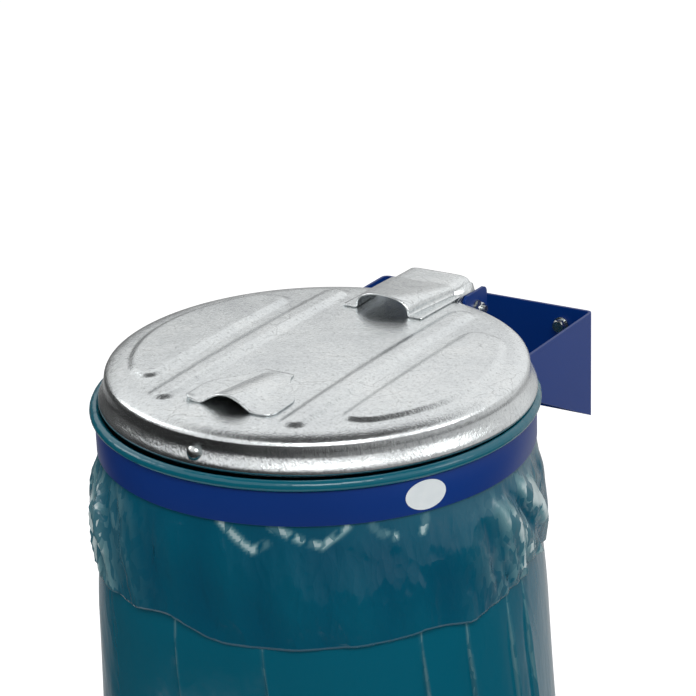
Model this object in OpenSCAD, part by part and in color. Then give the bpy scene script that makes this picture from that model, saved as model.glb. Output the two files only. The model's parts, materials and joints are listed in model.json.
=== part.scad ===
// Wall-mounted holder for a round refuse sack, with a pressed steel lid.
// The origin is the middle of the wall plate's back face, +Y points into the wall and +Z is up.
// Everything on the ring is drawn about the ring's own centre, with z = 0 at the band's top edge.

/* [Wall bracket] */
// Distance from the wall to the middle of the ring
reach = 345; // [320:1:400]
// Width of the wall plate over its two side flanges
plate_w = 257; // [200:1:320]
// Height of the wall plate
plate_h = 118; // [95:1:150]
// Thickness of the bracket's folded sheet
plate_t = 3; // [2:0.5:5]
// Outside radius of the bracket's folds
fold_r = 7; // [5.5:0.5:12]

/* [Wall bolts] */
// Distance from the plate's side to the middle of a wall bolt
bolt_edge_x = 36.5; // [34:0.5:58]
// Distance from the plate's top or foot to the middle of a wall bolt
bolt_edge_z = 20; // [17:0.5:34]
// Thread diameter of the wall bolts and of the hinge bolt
bolt_d = 8; // [6:1:10]
// Length of a wall bolt's shank behind the plate
bolt_out = 28; // [15:1:60]
// Width of a hexagon head or nut across its flats
hex_af = 13; // [12:0.5:17]
// Height of a hexagon head
head_h = 5.3; // [4:0.1:7]
// Outside diameter of a flat washer
washer_d = 17; // [16:0.5:24]
// Thickness of a flat washer
washer_t = 1.6; // [1:0.1:2.5]
// Thickness of a spring washer
spring_t = 2.2; // [1.6:0.1:3]

/* [Holder ring] */
// Outside diameter of the holder band
band_d = 430; // [380:1:450]
// Height of the holder band
band_h = 34; // [28:1:45]
// Thickness of the holder band
band_t = 2; // [1.5:0.5:4]
// Thickness of the inner ring's wall
ring_t = 1.4; // [1:0.1:2]
// Height of the inner ring's wall below the band's top edge
ring_drop = 30; // [20:1:34]
// Diameter of the inner ring's rolled bead
bead_d = 8; // [6:0.5:10]

/* [Sack] */
// Flat width of the film tube
sack_w = 700; // [680:5:740]
// Height of the sack below the band's top edge
sack_drop = 935; // [600:5:1000]
// Thickness drawn for the film
film_t = 1.2; // [1:0.1:1.5]
// Length of the mouth that hangs outside, below the band
skirt_drop = 116; // [60:1:130]

/* [Lid] */
// Diameter of the lid where its top turns into the skirt
lid_d = 412; // [380:1:420]
// How far the foot of the skirt stands out from the lid's edge
lid_flare = 7; // [5:0.5:9]
// Height of the lid's skirt
lid_skirt_h = 28; // [20:1:36]
// Height of the rounded shoulder above the skirt
lid_shoulder = 6.5; // [4:0.5:9]
// Rise of the lid's crown in the middle
lid_crown = 4.4; // [2:0.1:8]
// Thickness of the lid's sheet
lid_t = 1.2; // [0.8:0.1:2]
// How far the lid sits nearer the wall than the ring does
lid_shift = 5; // [0:0.5:5]
// Height of the pressed ribs and side panels
press_h = 3.2; // [2:0.1:5]
// Width of a pressed rib at its foot
rib_w = 32; // [24:1:38]
// Distance from the lid's middle to the middle of a rib
rib_x = 73.5; // [68:0.5:78]
// Distance from a rib's front end to the lid's edge
rib_front_gap = 37; // [36:1:66]
// Distance from a rib's back end to the lid's edge
rib_back_gap = 38; // [36:1:66]
// Distance from the lid's middle to the straight side of a panel
panel_x = 102; // [98:1:106]
// Distance from the round side of a panel to the lid's edge
panel_gap = 22; // [20:1:26]
// Distance from a panel's front end to the front of the lid
panel_front_gap = 74; // [72:1:96]
// Distance from a panel's back end to the back of the lid
panel_back_gap = 84; // [72:1:96]
// Radius of a panel's corners
panel_corner = 17; // [8:0.5:17]

/* [Hinge] */
// Distance from the lid's edge to the hinge bolt
hinge_gap = 36; // [33:0.5:45]
// Height of the hinge bolt above the band
hinge_z = 22; // [18:0.5:26]
// Width of the lid's hinge plate where it passes between the lugs
hood_w = 75; // [60:1:90]
// Thickness of the hinge plate
hood_t = 2; // [1.5:0.1:3]
// Distance from the hood's open mouth to the lid's edge
mouth_gap = 83; // [66:1:96]
// Height of the hood's mouth over the lid
mouth_h = 16; // [12:0.5:20]
// Half width of the mouth at its foot
mouth_foot = 29; // [26:0.5:34]
// Half width of the mouth at its top
mouth_top = 15; // [10:0.5:20]
// Half width of the hinge plate's flat wings
wing_x = 46; // [42:1:50]
// Thickness of the hinge lugs
lug_t = 3; // [2:0.5:5]
// Length of a hinge lug along the wall's direction
lug_l = 46; // [40:1:50]
// Height of a hinge lug above the band
lug_h = 40; // [38:0.5:44]

/* [Handle] */
// Distance from the handle's front edge to the lid's edge
grip_gap = 49; // [36:1:66]
// Half width of the handle plate
grip_x = 50; // [44:1:54]
// Depth of the handle plate's wings
grip_l = 44; // [36:1:60]
// Distance that the handle's arch runs back
grip_arch_l = 92; // [70:1:110]
// Height of the handle's arch over the lid
grip_h = 12; // [9:0.5:18]
// Half width of the arch at the front
grip_foot = 28; // [22:1:34]
// Thickness of the handle plate
grip_t = 1.6; // [1:0.1:3]

/* [Rivet and label] */
// Diameter of the rivet's dome head
rivet_d = 15; // [10:0.5:20]
// Height of the rivet's dome head
rivet_h = 4; // [2.5:0.5:6]
// Height of the rivet above the foot of the skirt
rivet_z = 12; // [10:0.5:16]
// Width of the blank label
label_w = 42; // [30:1:60]
// Height of the blank label
label_h = 29; // [20:1:32]
// Angle of the label from the front, towards the right
label_angle = 60; // [0:1:70]

/* [Hidden] */
$fn = 96;
band_r = band_d / 2;
band_in = band_r - band_t;
// A welded or resting face stays this far from its seat
seat = 0.2;
// Clear gap between the film and the steel that holds it
film_gap = 0.3;
// Clear gap between the film and the inner ring, which has to take the film's flat facets
ring_gap = 0.45;
// Clear gap across a wall bolt in its hole, and across the hinge bolt in its bores
bolt_clear = 0.5;
pin_clear = 0.14;
// Length of a cutting tool beyond what it cuts
over = 1;
nut_h = head_h + 1;

bead_r = bead_d / 2;
ring_out = band_in - film_gap - film_t - ring_gap;
ring_in = ring_out - ring_t;
bead_x = ring_out + bead_r - 0.6;
bead_z = film_gap + film_t + ring_gap + bead_r;
bead_top = bead_z + bead_r + ring_gap + film_t;

lid_r = lid_d / 2;
rim_r = lid_r + lid_flare;
rib_front = lid_r - rib_front_gap;
rib_back = lid_r - rib_back_gap;
panel_r = lid_r - panel_gap;
panel_front = lid_r - panel_front_gap;
panel_back = lid_r - panel_back_gap;
mouth_y = lid_r - mouth_gap;
grip_y = lid_r - grip_gap;
lid_foot = bead_top + film_gap;
lid_edge = lid_foot + lid_skirt_h;
lid_flat = lid_edge + lid_shoulder;

// The hinge bolt stays at least this far from the band, where the lugs clear it
hinge_clear = 32;
hinge_y = max(lid_r + lid_shift + hinge_gap, band_r + hinge_clear);
hood_half = hood_w / 2;
lug_gap = 1.5;
lug_in = hood_half + lug_gap;
lug_out = lug_in + lug_t;
lug_r = 7;

plate_mid = plate_h / 2;
bolt_dx = plate_w - 2 * bolt_edge_x;
bolt_dz = plate_h - 2 * bolt_edge_z;
bolt_signs = [[-1, 1], [1, 1], [-1, -1], [1, -1]];

// Height of the crowned lid over the band's top edge, at a distance r from the lid's middle
function lid_z(r) = lid_flat + lid_crown * (1 - r * r / (lid_r * lid_r));

// Points of an arc from angle a0 to a1 about [x, y]
function arc(x, y, rx, ry, a0, a1, n) =
    [for (i = [0:n]) let (a = a0 + (a1 - a0) * i / n) [x + rx * cos(a), y + ry * sin(a)]];

module at_ring() {
    translate([0, -reach, plate_mid]) children();
}

module at_lid() {
    at_ring() translate([0, lid_shift, 0]) children();
}

module at_hinge() {
    at_ring() translate([0, hinge_y, hinge_z]) children();
}

// Draws a shape and its mirror image across the lid
module both_sides() {
    children();
    mirror([1, 0, 0]) children();
}

// Extrudes a drawing made in the Y-Z plane along X, from x0 to x1
module along_x(x0, x1) {
    translate([x0, 0, 0]) rotate([90, 0, 90]) linear_extrude(x1 - x0) children();
}

// Extrudes a drawing made in the X-Z plane along Y, from y0 to y1
module along_y(y0, y1) {
    translate([0, y1, 0]) rotate([90, 0, 0]) linear_extrude(y1 - y0) children();
}

// A slab with two round corners at its top edge
module round_top(x0, x1, y0, y1, r) {
    translate([x0, y0]) square([x1 - x0, y1 - y0 - r]);
    translate([x0 + r, y1 - r - 0.01]) square([x1 - x0 - 2 * r, r + 0.01]);
    translate([x0 + r, y1 - r]) circle(r);
    translate([x1 - r, y1 - r]) circle(r);
}

// Wall bracket: one sheet with a wall plate and two flanges that reach the band
flange_l = reach - sqrt(band_r * band_r - plate_w * plate_w / 4);
// The flanges are drawn this much too long, and the band's cylinder cuts them to length
flange_spare = 15;

module bracket_outline(inset) {
    round_top(-plate_w / 2 + inset, plate_w / 2 - inset, -flange_l - 2 * flange_spare, -inset, fold_r - inset);
}

module flange_outline() {
    polygon([
        [over, -plate_mid], [over, plate_mid],
        [-flange_l - flange_spare, plate_mid], [-flange_l - flange_spare, plate_mid - band_h],
        [-flange_l, plate_mid - band_h], [-plate_t, -plate_mid]
    ]);
}

module wall_bracket() {
    color("#1a3a6b") difference() {
        intersection() {
            linear_extrude(plate_h, center = true) difference() {
                bracket_outline(0);
                bracket_outline(plate_t);
            }
            along_x(-plate_w, plate_w) flange_outline();
        }
        at_ring() cylinder(r = band_r + seat, h = 3 * plate_h, center = true, $fn = 180);
        for (s = bolt_signs)
            translate([s[0] * bolt_dx / 2, 0, s[1] * bolt_dz / 2])
                rotate([90, 0, 0]) cylinder(d = bolt_d + bolt_clear, h = 4 * plate_t, center = true);
    }
}

// A wall bolt is drawn with its head in front of the plate and its thread behind it. The neck that
// passes through the plate is a little thinner than the thread.
bolt_neck = bolt_d - 0.4;

module hexagon(h) {
    intersection() {
        cylinder(d = hex_af * 2 / sqrt(3), h = h, $fn = 6);
        translate([0, 0, -hex_af]) cylinder(d1 = 3 * hex_af, d2 = hex_af * 0.9, h = hex_af + h + 0.3);
    }
}

module bolt_at(i) {
    s = bolt_signs[i];
    translate([s[0] * bolt_dx / 2, -plate_t, s[1] * bolt_dz / 2]) rotate([90, 0, 0]) children();
}

module wall_bolt(i) {
    color("#b9bdbd") bolt_at(i) {
        translate([0, 0, washer_t + spring_t]) hexagon(head_h);
        translate([0, 0, -plate_t - bolt_out]) cylinder(d = bolt_d, h = bolt_out);
        translate([0, 0, -plate_t - over])
            cylinder(d = bolt_neck, h = plate_t + washer_t + spring_t + 2 * over);
    }
}

module ring_of(d_in, d_out, h) {
    difference() {
        cylinder(d = d_out, h = h);
        translate([0, 0, -over]) cylinder(d = d_in, h = h + 2 * over);
    }
}

module wall_washer(i) {
    color("#c7cbcb") bolt_at(i) ring_of(bolt_d + bolt_clear, washer_d, washer_t);
}

// A spring washer is split, and its ends stand a little apart
split_angle = 40;
split_gap = 1.2;

module spring_washer(i) {
    color("#a9adad") bolt_at(i) translate([0, 0, washer_t]) difference() {
        ring_of(bolt_d + bolt_clear, bolt_d * 1.72, spring_t);
        rotate([0, 0, split_angle]) translate([bolt_d * 0.6, 0, 0])
            cube([bolt_d, split_gap, 3 * spring_t], center = true);
    }
}

// Holder ring: the band is welded to the flanges, and the inner ring hangs in it by its bead
module holder_band() {
    color("#0b2f7a") at_ring() rotate_extrude($fn = 180)
        translate([band_in, -band_h]) square([band_t, band_h]);
}

module inner_ring() {
    color("#9aa0a3") at_ring() rotate_extrude($fn = 180) {
        translate([ring_in, -ring_drop]) square([ring_t, ring_drop + bead_z]);
        translate([bead_x, bead_z]) circle(bead_r);
    }
}

// Hinge bracket: a web welded to the back of the band, with two lugs for the hinge bolt
lug_y0 = hinge_y - lug_l / 2;
lug_y1 = hinge_y + lug_l / 2;
web_y = band_r + seat;
web_z0 = 1 - band_h;
web_z1 = -3;

module lug_outline() {
    round_top(lug_y0, lug_y1, 0, lug_h, lug_r);
    polygon([
        [web_y, web_z0], [web_y, web_z1], [lug_y0, -web_z1], [lug_y0, lug_r],
        [lug_y1, lug_r], [lug_y1, 0], [web_y + lug_l / 2, web_z0]
    ]);
}

module hinge_bracket() {
    color("#0b2f7a") at_ring() difference() {
        union() {
            along_x(lug_in, lug_out) lug_outline();
            along_x(-lug_out, -lug_in) lug_outline();
            translate([-lug_out, web_y, web_z0]) cube([2 * lug_out, lug_t, web_z1 - web_z0]);
        }
        translate([0, hinge_y, hinge_z]) rotate([0, 90, 0])
            cylinder(d = bolt_d + pin_clear, h = 4 * lug_out, center = true);
    }
}

// The hinge bolt's thread stands out of its nut by this much
thread_end = 4;

module hinge_bolt() {
    color("#b9bdbd") at_hinge() rotate([0, 90, 0]) {
        translate([0, 0, -lug_out - washer_t]) mirror([0, 0, 1]) hexagon(head_h);
        translate([0, 0, -lug_out - washer_t - 0.5])
            cylinder(d = bolt_d, h = 2 * lug_out + 2 * washer_t + nut_h + thread_end);
    }
}

module hinge_nut() {
    color("#b9bdbd") at_hinge() rotate([0, 90, 0]) translate([0, 0, lug_out + washer_t])
        difference() {
            hexagon(nut_h);
            translate([0, 0, -over]) cylinder(d = bolt_d + pin_clear, h = nut_h + 2 * over);
        }
}

module hinge_washer_right() {
    color("#c7cbcb") at_hinge() rotate([0, 90, 0]) translate([0, 0, lug_out])
        ring_of(bolt_d + bolt_clear, washer_d, washer_t);
}

module hinge_washer_left() {
    color("#c7cbcb") at_hinge() rotate([0, 90, 0]) translate([0, 0, -lug_out - washer_t])
        ring_of(bolt_d + bolt_clear, washer_d, washer_t);
}

// Lid: a crowned disc with a flared skirt, and ribs and panels pressed up from it
shoulder_w = 20;
crown_end = lid_r - shoulder_w;
// Diameter of the rivet's shank, and the distance between its two heads
rivet_shank = 6;
rivet_grip = 5.2;

function lid_points(t) = let (r0 = lid_r - t, z1 = lid_edge, z0 = lid_foot - (t > 0 ? over : 0)) concat(
    [for (i = [0:5]) let (r = crown_end * i / 6) [r, lid_z(r) - t]],
    arc(crown_end, z1, shoulder_w - t, lid_z(crown_end) - z1 - t, 90, 0, 8),
    [[r0 - 0.6, z1 - 2.5], [r0 + 1.4, z1 - 6], [r0 + 2.4, z1 - 10], [r0 + 1.8, z1 - 14],
        [r0 + 2.6, z1 - 18], [r0 + 4.8, z1 - 22.5], [r0 + lid_flare, z1 - 26],
        [r0 + lid_flare, z0], [0, z0]]
);

// The lid as a filled form, smaller by its sheet's thickness for the hollow inside
module lid_form(t) {
    rotate_extrude($fn = 180) polygon(lid_points(t));
}

module rib_outline(t) {
    r = rib_w / 2;
    translate([rib_x, r - rib_front]) circle(r - t);
    translate([rib_x, rib_back - r]) circle(r - t);
    translate([rib_x - r + t, r - rib_front]) square([2 * (r - t), rib_front + rib_back - 2 * r]);
}

// A panel runs from y0 to y1. It is straight on the inside and round on the outside, and its four
// corners have the same radius.
module panel_outline(t) {
    r = panel_corner - t;
    ro = panel_r - panel_corner;
    x0 = panel_x + panel_corner;
    y0 = panel_corner - panel_front;
    y1 = panel_back - panel_corner;
    a0 = asin(y0 / ro);
    a1 = asin(y1 / ro);
    polygon(concat(
        arc(x0, y0, r, r, 180, 270, 6), arc(max(x0, ro * cos(a0)), y0, r, r, 270, 360 + a0, 5),
        arc(0, 0, ro + r, ro + r, a0 + 4, a1 - 4, 10),
        arc(max(x0, ro * cos(a1)), y1, r, r, a1, 90, 5), arc(x0, y1, r, r, 90, 180, 6)
    ));
}

// A pressed-up form: its outline stood up and cut off by the crown, raised by the pressing's height
module pressed(t) {
    intersection() {
        translate([0, 0, lid_edge]) linear_extrude(lid_skirt_h) children();
        rotate_extrude($fn = 180) polygon(concat(
            [for (i = [0:6]) let (r = crown_end * i / 6) [r, lid_z(r) + press_h - t]],
            [[crown_end, lid_edge - over], [0, lid_edge - over]]
        ));
    }
}

// Both ribs and both side panels, smaller by t for the hollow on their underside
module pressings(t) {
    draft = 1.5;
    both_sides() {
        pressed(t) rib_outline(t + draft);
        pressed(t) panel_outline(t + draft);
    }
}

module lid() {
    color("#d0d3d3") at_lid() difference() {
        union() {
            lid_form(0);
            pressings(0);
        }
        lid_form(lid_t);
        pressings(lid_t);
        translate([0, -rim_r, lid_foot + rivet_z]) rotate([90, 0, 0])
            cylinder(d = rivet_shank + 2 * seat, h = 4 * rivet_grip, center = true);
    }
}

// Rivet at the front of the skirt: a dome head outside, on the skirt's flare, and a flat one inside
module lid_rivet() {
    y = lid_r + 5.3;
    cap = (rivet_d * rivet_d / 4 + rivet_h * rivet_h) / (2 * rivet_h);
    color("#c2c6c6") at_lid() translate([0, -y, lid_foot + rivet_z]) rotate([90, 0, 0]) {
        intersection() {
            translate([0, 0, rivet_h - cap]) sphere(r = cap);
            cylinder(d = rivet_d, h = rivet_h);
        }
        translate([0, 0, -rivet_grip - lid_t]) cylinder(d = rivet_shank, h = rivet_grip + lid_t + rivet_h / 2);
        translate([0, 0, -rivet_grip - lid_t]) cylinder(d = 1.6 * rivet_shank, h = lid_t);
    }
}

// Hinge plate: a hood over the lid whose side walls reach back to the hinge bolt
hood_tail = lid_r + 1;
hood_slope = atan((lid_z(mouth_y) - lid_flat - 3 * seat) / (hood_tail - mouth_y));
tail_z = lid_flat + 9.5;
pivot_y = hinge_y - lid_shift;
hinge_lug_r = 12;
hood_r = 5;
// The hollow under the hood is cut this much deeper than the plate's underside
hood_deep = 3;

// The hood's mouth, as large as its outside for t = hood_t and as its hollow for t = 0
module hood_mouth(t) {
    z = lid_z(mouth_y) + seat;
    z0 = t > 0 ? z : z - hood_deep;
    polygon(concat(
        [[mouth_foot + t, z0], [mouth_foot + t, z], [mouth_top + t + 4, z + mouth_h - 3]],
        arc(0, z + mouth_h - 4, mouth_top + t, 4 + t, 60, 120, 6),
        [[-mouth_top - t - 4, z + mouth_h - 3], [-mouth_foot - t, z], [-mouth_foot - t, z0]]
    ));
}

module hood_end(t, z0) {
    x = hood_half - hood_t - hood_r;
    z = tail_z - hood_t - hood_r;
    r = hood_r + t;
    polygon(concat([[x + r, z0]], arc(x, z, r, r, 0, 90, 8), arc(-x, z, r, r, 90, 180, 8), [[-x - r, z0]]));
}

module hood_over_lid(t) {
    hull() {
        along_y(mouth_y - (t > 0 ? 0 : over), mouth_y + 0.1) hood_mouth(t);
        along_y(hood_tail - 0.1, hood_tail) hood_end(t, lid_flat + (t > 0 ? 3 * seat : -hood_deep));
    }
}

// Outline of the two side walls behind the lid, down to the hinge bolt
module hood_side() {
    polygon(concat(
        [[hood_tail - over, lid_flat + 3 * seat], [hood_tail - over, tail_z], [pivot_y - hood_r, tail_z - 1]],
        arc(pivot_y, hinge_z, hinge_lug_r, hinge_lug_r, 0, -120, 12),
        [[hood_tail + 4, hinge_z + 10]]
    ));
}

module hood_tail_form() {
    intersection() {
        along_x(-hood_half - over, hood_half + over) hood_side();
        along_y(hood_tail - 2 * over, hinge_y + hinge_lug_r) hood_end(hood_t, hinge_z - 2 * hinge_lug_r);
    }
}

module lid_hinge_plate() {
    color("#cfd2d2") at_lid() difference() {
        union() {
            hood_over_lid(hood_t);
            hood_tail_form();
            translate([0, mouth_y, lid_z(mouth_y) + seat]) rotate([-hood_slope, 0, 0])
                translate([-wing_x, 0, 0]) cube([2 * wing_x, hood_tail - mouth_y - 4, hood_t]);
        }
        hood_over_lid(0);
        along_y(hood_tail - 3 * over, hinge_y + 2 * hinge_lug_r) hood_end(0, hinge_z - 3 * hinge_lug_r);
        translate([0, pivot_y, hinge_z]) rotate([0, 90, 0])
            cylinder(d = bolt_d + pin_clear, h = 2 * hood_w, center = true);
    }
}

// Handle: a thin plate on the lid with an arch for the fingers that fades towards the back
grip_slope = atan((lid_z(grip_y - grip_arch_l) - lid_z(grip_y)) / grip_arch_l);

module grip_front(t) {
    polygon(concat(
        [[grip_foot + t, 0], [grip_foot * 0.62 + t, grip_h * 0.62]],
        arc(0, grip_h * 0.55, grip_foot * 0.5 + t, grip_h * 0.45 + t, 60, 120, 6),
        [[-grip_foot * 0.62 - t, grip_h * 0.62], [-grip_foot - t, 0]]
    ));
}

module grip_arch(t) {
    hull() {
        along_y(t > 0 ? 0 : -over, 0.1) grip_front(t);
        translate([0, grip_arch_l - 2 + t, 0]) cylinder(r = 1 + t, h = 0.4 + t, $fn = 16);
    }
}

module grip_wings() {
    x = grip_x;
    linear_extrude(grip_t) polygon(concat(
        arc(x - 12, 12, 12, 12, -90, 0, 5), [[x, grip_l - 6], [x * 0.66, grip_l + 18], [14, grip_arch_l - 6]],
        [[-14, grip_arch_l - 6], [-x * 0.66, grip_l + 18], [-x, grip_l - 6]],
        arc(-x + 12, 12, 12, 12, 180, 270, 5)
    ));
}

module lid_handle() {
    color("#cfd2d2") at_lid() translate([0, -grip_y, lid_z(grip_y) + seat]) rotate([grip_slope, 0, 0])
        difference() {
            union() {
                grip_arch(grip_t);
                grip_wings();
            }
            grip_arch(0);
            translate([0, 0, -over]) cube([6 * grip_x, 6 * grip_x, 2 * over], center = true);
        }
}

// Blank oval label on the band's outer face
module blank_label() {
    color("#e8ecec") at_ring() intersection() {
        rotate_extrude($fn = 180) translate([band_r + 0.05, -band_h]) square([0.4, band_h]);
        rotate([0, 0, label_angle]) translate([0, 0, -band_h / 2]) rotate([90, 0, 0])
            linear_extrude(band_d) polygon(arc(0, 0, label_w / 2, label_h / 2, 0, 352.5, 47));
    }
}

// Sack: one piece of film. Its mouth hangs outside below the band, comes up between the band and
// the inner ring, turns over the bead and runs down inside, where the tube goes flat to its seam.
sack_n = 72;
film_out = band_in - film_gap - film_t / 2;
film_in = ring_in - ring_gap - film_t / 2;
wrap_r = bead_r + ring_gap + film_t / 2;
tube_r = sack_w / PI - film_t;
// The mouth's skirt stands this much wider than the band's inside, and the tube stays inside the skirt
skirt_flare = 12;
tuck_r = film_out + skirt_flare - 8;

// Circumference of an ellipse, and the half depth that leaves it as it is for a half width a
function round_len(a, b) = PI * (3 * (a + b) - sqrt((3 * a + b) * (a + 3 * b)));
function half_depth(a, lo, hi, n) = n == 0 ? (lo + hi) / 2 :
    let (m = (lo + hi) / 2)
    round_len(a, m) > 2 * sack_w - 8 ? half_depth(a, lo, m, n - 1) : half_depth(a, m, hi, n - 1);

function skirt_r(u) = film_out + skirt_flare * pow(sin(min(1, u * 1.4) * 90), 1.2);
skirt_path = [for (i = [7:-1:0]) let (u = i / 7)
    [skirt_r(u), skirt_r(u), -band_h - film_gap - film_t - skirt_drop * pow(u, 1.2)]];
wrap_path = [for (i = [0:7]) let (a = -90 + 30 * i)
    [bead_x + wrap_r * cos(a), bead_x + wrap_r * cos(a), bead_z + wrap_r * sin(a)]];
neck_path = [for (z = [bead_z + 1.2, 0, -ring_drop - 1]) [film_in, film_in, z]];
neck_end = -ring_drop - 1;
tube_end = -sack_drop;
tube_path = [for (i = [1:13]) let (
        u = i / 13,
        z = neck_end + (tube_end - neck_end) * pow(u, 1.45),
        a = film_in + (tuck_r - film_in) * min(1, i / 3) + (sack_w / 2 - 4 - tuck_r) * pow(max(0, (i - 3) / 10), 1.45),
        b = i < 5 ? min(a, tuck_r + 1) : half_depth(a, 0.5, tuck_r + 1, 14))
    [a, max(b, film_t + 0.8), z]];
sack_path = concat(
    skirt_path, [for (z = [-1, bead_z - wrap_r - 0.2]) [film_out, film_out, z]], wrap_path, neck_path, tube_path
);

// Outward direction of the film's face at a station, in the plane of radius and height
function face_of(i) = let (
        n = len(sack_path), p = sack_path[max(0, i - 1)], q = sack_path[min(n - 1, i + 1)],
        d = [q[0] - p[0], q[2] - p[2]], l = norm(d))
    [d[1] / l, -d[0] / l];

// One ring of points, moved off the film's middle surface by w and waved along the hem
function film_ring(i, w) = let (p = sack_path[i], f = face_of(i), hem = i > 5 ? 0 : (5 - i) / 5)
    [for (k = [0:sack_n - 1]) let (
            t = 360 * k / sack_n,
            wave = hem * (6 * sin(3 * t + 40) + 4 * sin(7 * t)),
            fold = hem * 2 * sin(11 * t) + (i > 20 && i < 33 ? 1.2 * sin(13 * t) * min(1, (i - 20) / 3) : 0))
        [(p[0] + f[0] * w + fold) * cos(t), (p[1] + f[0] * w * (i > 31 ? 0.5 : 1) + fold * p[1] / p[0]) * sin(t),
            p[2] + (i == len(sack_path) - 1 ? w : f[1] * w) + wave]];

module sack() {
    n = len(sack_path);
    rings = concat([for (i = [0:n - 1]) film_ring(i, film_t / 2)], [for (i = [0:n - 1]) film_ring(n - 1 - i, -film_t / 2)]);
    m = len(rings);
    points = [for (r = rings, q = r) q];
    faces = [for (j = [0:m - 1], k = [0:sack_n - 1], h = [0, 1]) let (
            a = j * sack_n + k, b = j * sack_n + (k + 1) % sack_n,
            c = ((j + 1) % m) * sack_n + (k + 1) % sack_n, d = ((j + 1) % m) * sack_n + k)
        if (j != n - 1) h == 0 ? [a, c, b] : [a, d, c]];
    caps = [[for (k = [sack_n - 1:-1:0]) (n - 1) * sack_n + k], [for (k = [0:sack_n - 1]) n * sack_n + k]];
    color("#0e6a7a") at_ring() polyhedron(points, concat(faces, caps), convexity = 8);
}

wall_bracket();
holder_band();
hinge_bracket();
hinge_bolt();
hinge_nut();
hinge_washer_left();
hinge_washer_right();
inner_ring();
sack();
lid();
lid_hinge_plate();
lid_handle();
lid_rivet();
blank_label();
wall_bolt(0);  // wall_bolt_1
wall_bolt(1);  // wall_bolt_2
wall_bolt(2);  // wall_bolt_3
wall_bolt(3);  // wall_bolt_4
wall_washer(0);  // wall_washer_1
wall_washer(1);  // wall_washer_2
wall_washer(2);  // wall_washer_3
wall_washer(3);  // wall_washer_4
spring_washer(0);  // spring_washer_1
spring_washer(1);  // spring_washer_2
spring_washer(2);  // spring_washer_3
spring_washer(3);  // spring_washer_4
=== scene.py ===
# %% [markdown]
# # A wall-mounted waste sack holder, dressed for its picture
# The CAD model gives the frame: every node arrives in metres, in its own place. This file adds the
# looks. A holder like this has four families of surface: powder-coated steel for the bracket and
# band, hot-dip galvanised sheet for the lid, zinc-plated screws, and thin polyethylene film for
# the sack. Each gets a material of its own, and each visible thin part gets a smoother mesh.

# %% Load the frame
import json
import math
import bpy
import numpy as np
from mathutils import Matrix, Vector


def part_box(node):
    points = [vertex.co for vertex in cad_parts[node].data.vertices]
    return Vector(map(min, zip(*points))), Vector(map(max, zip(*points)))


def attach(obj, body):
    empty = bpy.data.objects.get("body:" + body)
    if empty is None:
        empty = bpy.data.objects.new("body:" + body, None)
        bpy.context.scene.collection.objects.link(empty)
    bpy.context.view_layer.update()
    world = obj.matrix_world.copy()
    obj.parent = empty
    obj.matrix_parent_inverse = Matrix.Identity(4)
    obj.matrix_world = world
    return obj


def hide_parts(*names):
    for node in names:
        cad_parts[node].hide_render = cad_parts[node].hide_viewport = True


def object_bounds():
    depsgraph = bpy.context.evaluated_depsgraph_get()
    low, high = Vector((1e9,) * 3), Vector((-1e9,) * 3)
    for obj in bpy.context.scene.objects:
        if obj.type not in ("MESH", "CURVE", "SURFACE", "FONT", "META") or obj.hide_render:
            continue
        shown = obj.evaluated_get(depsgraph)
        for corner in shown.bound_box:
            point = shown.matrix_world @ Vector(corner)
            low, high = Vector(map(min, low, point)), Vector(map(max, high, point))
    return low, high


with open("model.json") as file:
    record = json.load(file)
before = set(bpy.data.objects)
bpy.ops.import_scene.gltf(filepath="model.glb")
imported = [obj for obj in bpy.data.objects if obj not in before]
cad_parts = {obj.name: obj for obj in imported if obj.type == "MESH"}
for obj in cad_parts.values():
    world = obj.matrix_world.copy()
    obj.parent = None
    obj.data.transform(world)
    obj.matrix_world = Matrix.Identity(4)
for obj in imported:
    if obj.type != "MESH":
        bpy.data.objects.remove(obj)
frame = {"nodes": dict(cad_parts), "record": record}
cad_box = [list(corner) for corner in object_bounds()]
print("CAD box in metres:", [[round(v, 3) for v in corner] for corner in cad_box])

# %% [markdown]
# ## Measures shared by the pieces
# The work below is in millimetres, because that is how sheet metal is drawn, and becomes metres
# only when a mesh is written. The ring's middle is the natural origin for everything round, so it
# is read from the band's box instead of being written down again.

# %% The ring's middle and a few lengths
MM = 0.001
low, high = (np.array(corner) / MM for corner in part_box("holder_band"))
RING = np.array([0.0, (low[1] + high[1]) / 2, high[2]])
LID = RING + np.array([0.0, 5.0, 0.0])
BAND_R = 215.0
BAND_H = 34.0
BEAD_X, BEAD_Z, BEAD_R = 214.45, 5.95, 4.0
LID_R, LID_EDGE, LID_FLAT, LID_CROWN = 206.0, 39.9, 46.4, 4.4
SHEET = 1.2
print("ring middle:", RING.round(2))

# %% [markdown]
# ## Small helpers
# A surface here is a grid of points, worked out for the whole array at once. One helper turns the
# grid into faces, one writes the mesh, and one resamples a listed profile into a smooth curve.

# %% Helpers for grids and meshes
def grid_quads(rows, columns, closed=False):
    """Faces of a grid of points: each joins a point to its right, far and near neighbours."""
    index = np.arange(rows * columns).reshape(rows, columns)
    if closed:
        index = np.hstack([index, index[:, :1]])
    a, b = index[:-1, :-1], index[:-1, 1:]
    c, d = index[1:, 1:], index[1:, :-1]
    return np.stack([a, b, c, d], axis=-1).reshape(-1, 4)


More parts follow.
